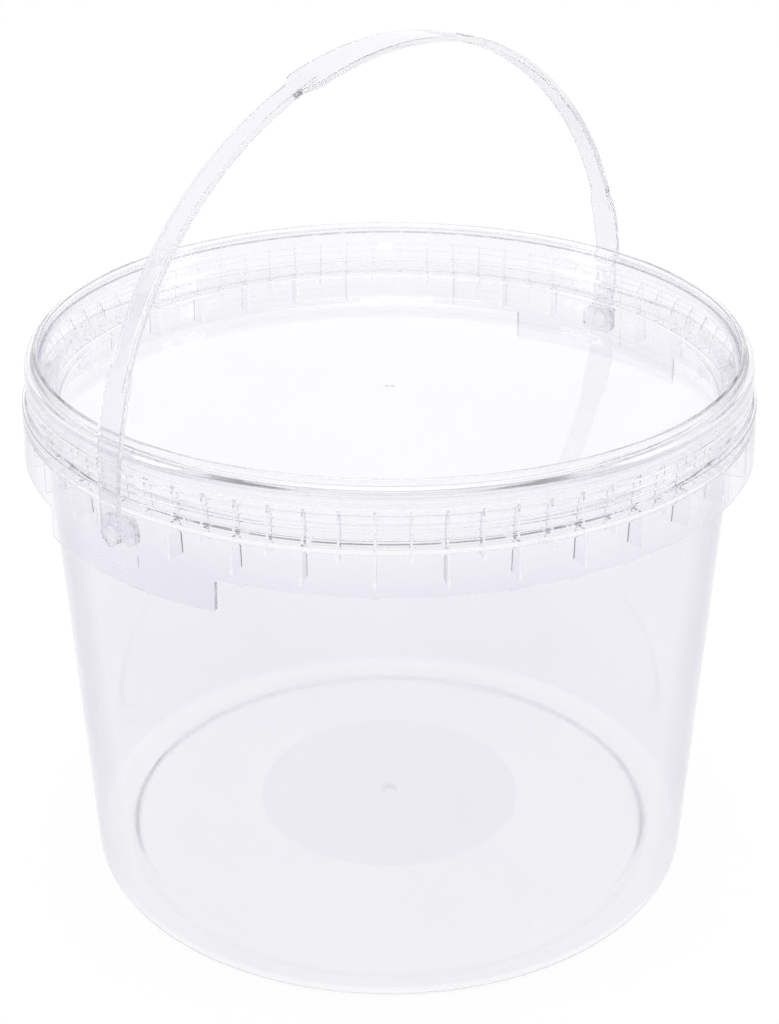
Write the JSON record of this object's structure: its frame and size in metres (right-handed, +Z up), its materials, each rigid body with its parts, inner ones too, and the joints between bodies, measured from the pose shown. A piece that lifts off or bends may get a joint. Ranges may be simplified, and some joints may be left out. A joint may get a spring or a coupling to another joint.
{
  "type": "plastic bucket with lid",
  "caption": "Round tapered pail with a ribbed skirt under the rim, a snap lid with a recessed panel, and an upright moulded bail that hinges on hammer feet.",
  "frame": {"origin": "centre of the foot ring on the surface the pail stands on", "axes": "+Z up along the pail's axis; the bail's two hinges lie on the X direction, and the bail stands in the XZ plane at rest"},
  "size_m": [0.2838, 0.2788, 0.3281],
  "materials": {
    "tub_plastic": "clear natural polypropylene, glossy, with a faint cool violet-grey tint",
    "lid_plastic": "clear natural polypropylene, glossy, thin and almost colourless in the panel",
    "bail_plastic": "natural polypropylene, translucent and satin, slightly milkier than the tub"
  },
  "bodies": {
    "tub": {"tub": "tub_plastic"},
    "lid": {"lid": "lid_plastic"},
    "bail": {"bail": "bail_plastic"}
  },
  "joints": [
    {"name": "lid_lift", "type": "slide", "parent": "tub", "child": "lid", "axis": [0, 0, 1], "range_m": [0, 0.005]},
    {"name": "bail_hinge", "type": "hinge", "parent": "tub", "child": "bail", "pos_m": [0, 0, 0.1844], "axis": [1, 0, 0], "range_deg": [-108, 108]}
  ]
}
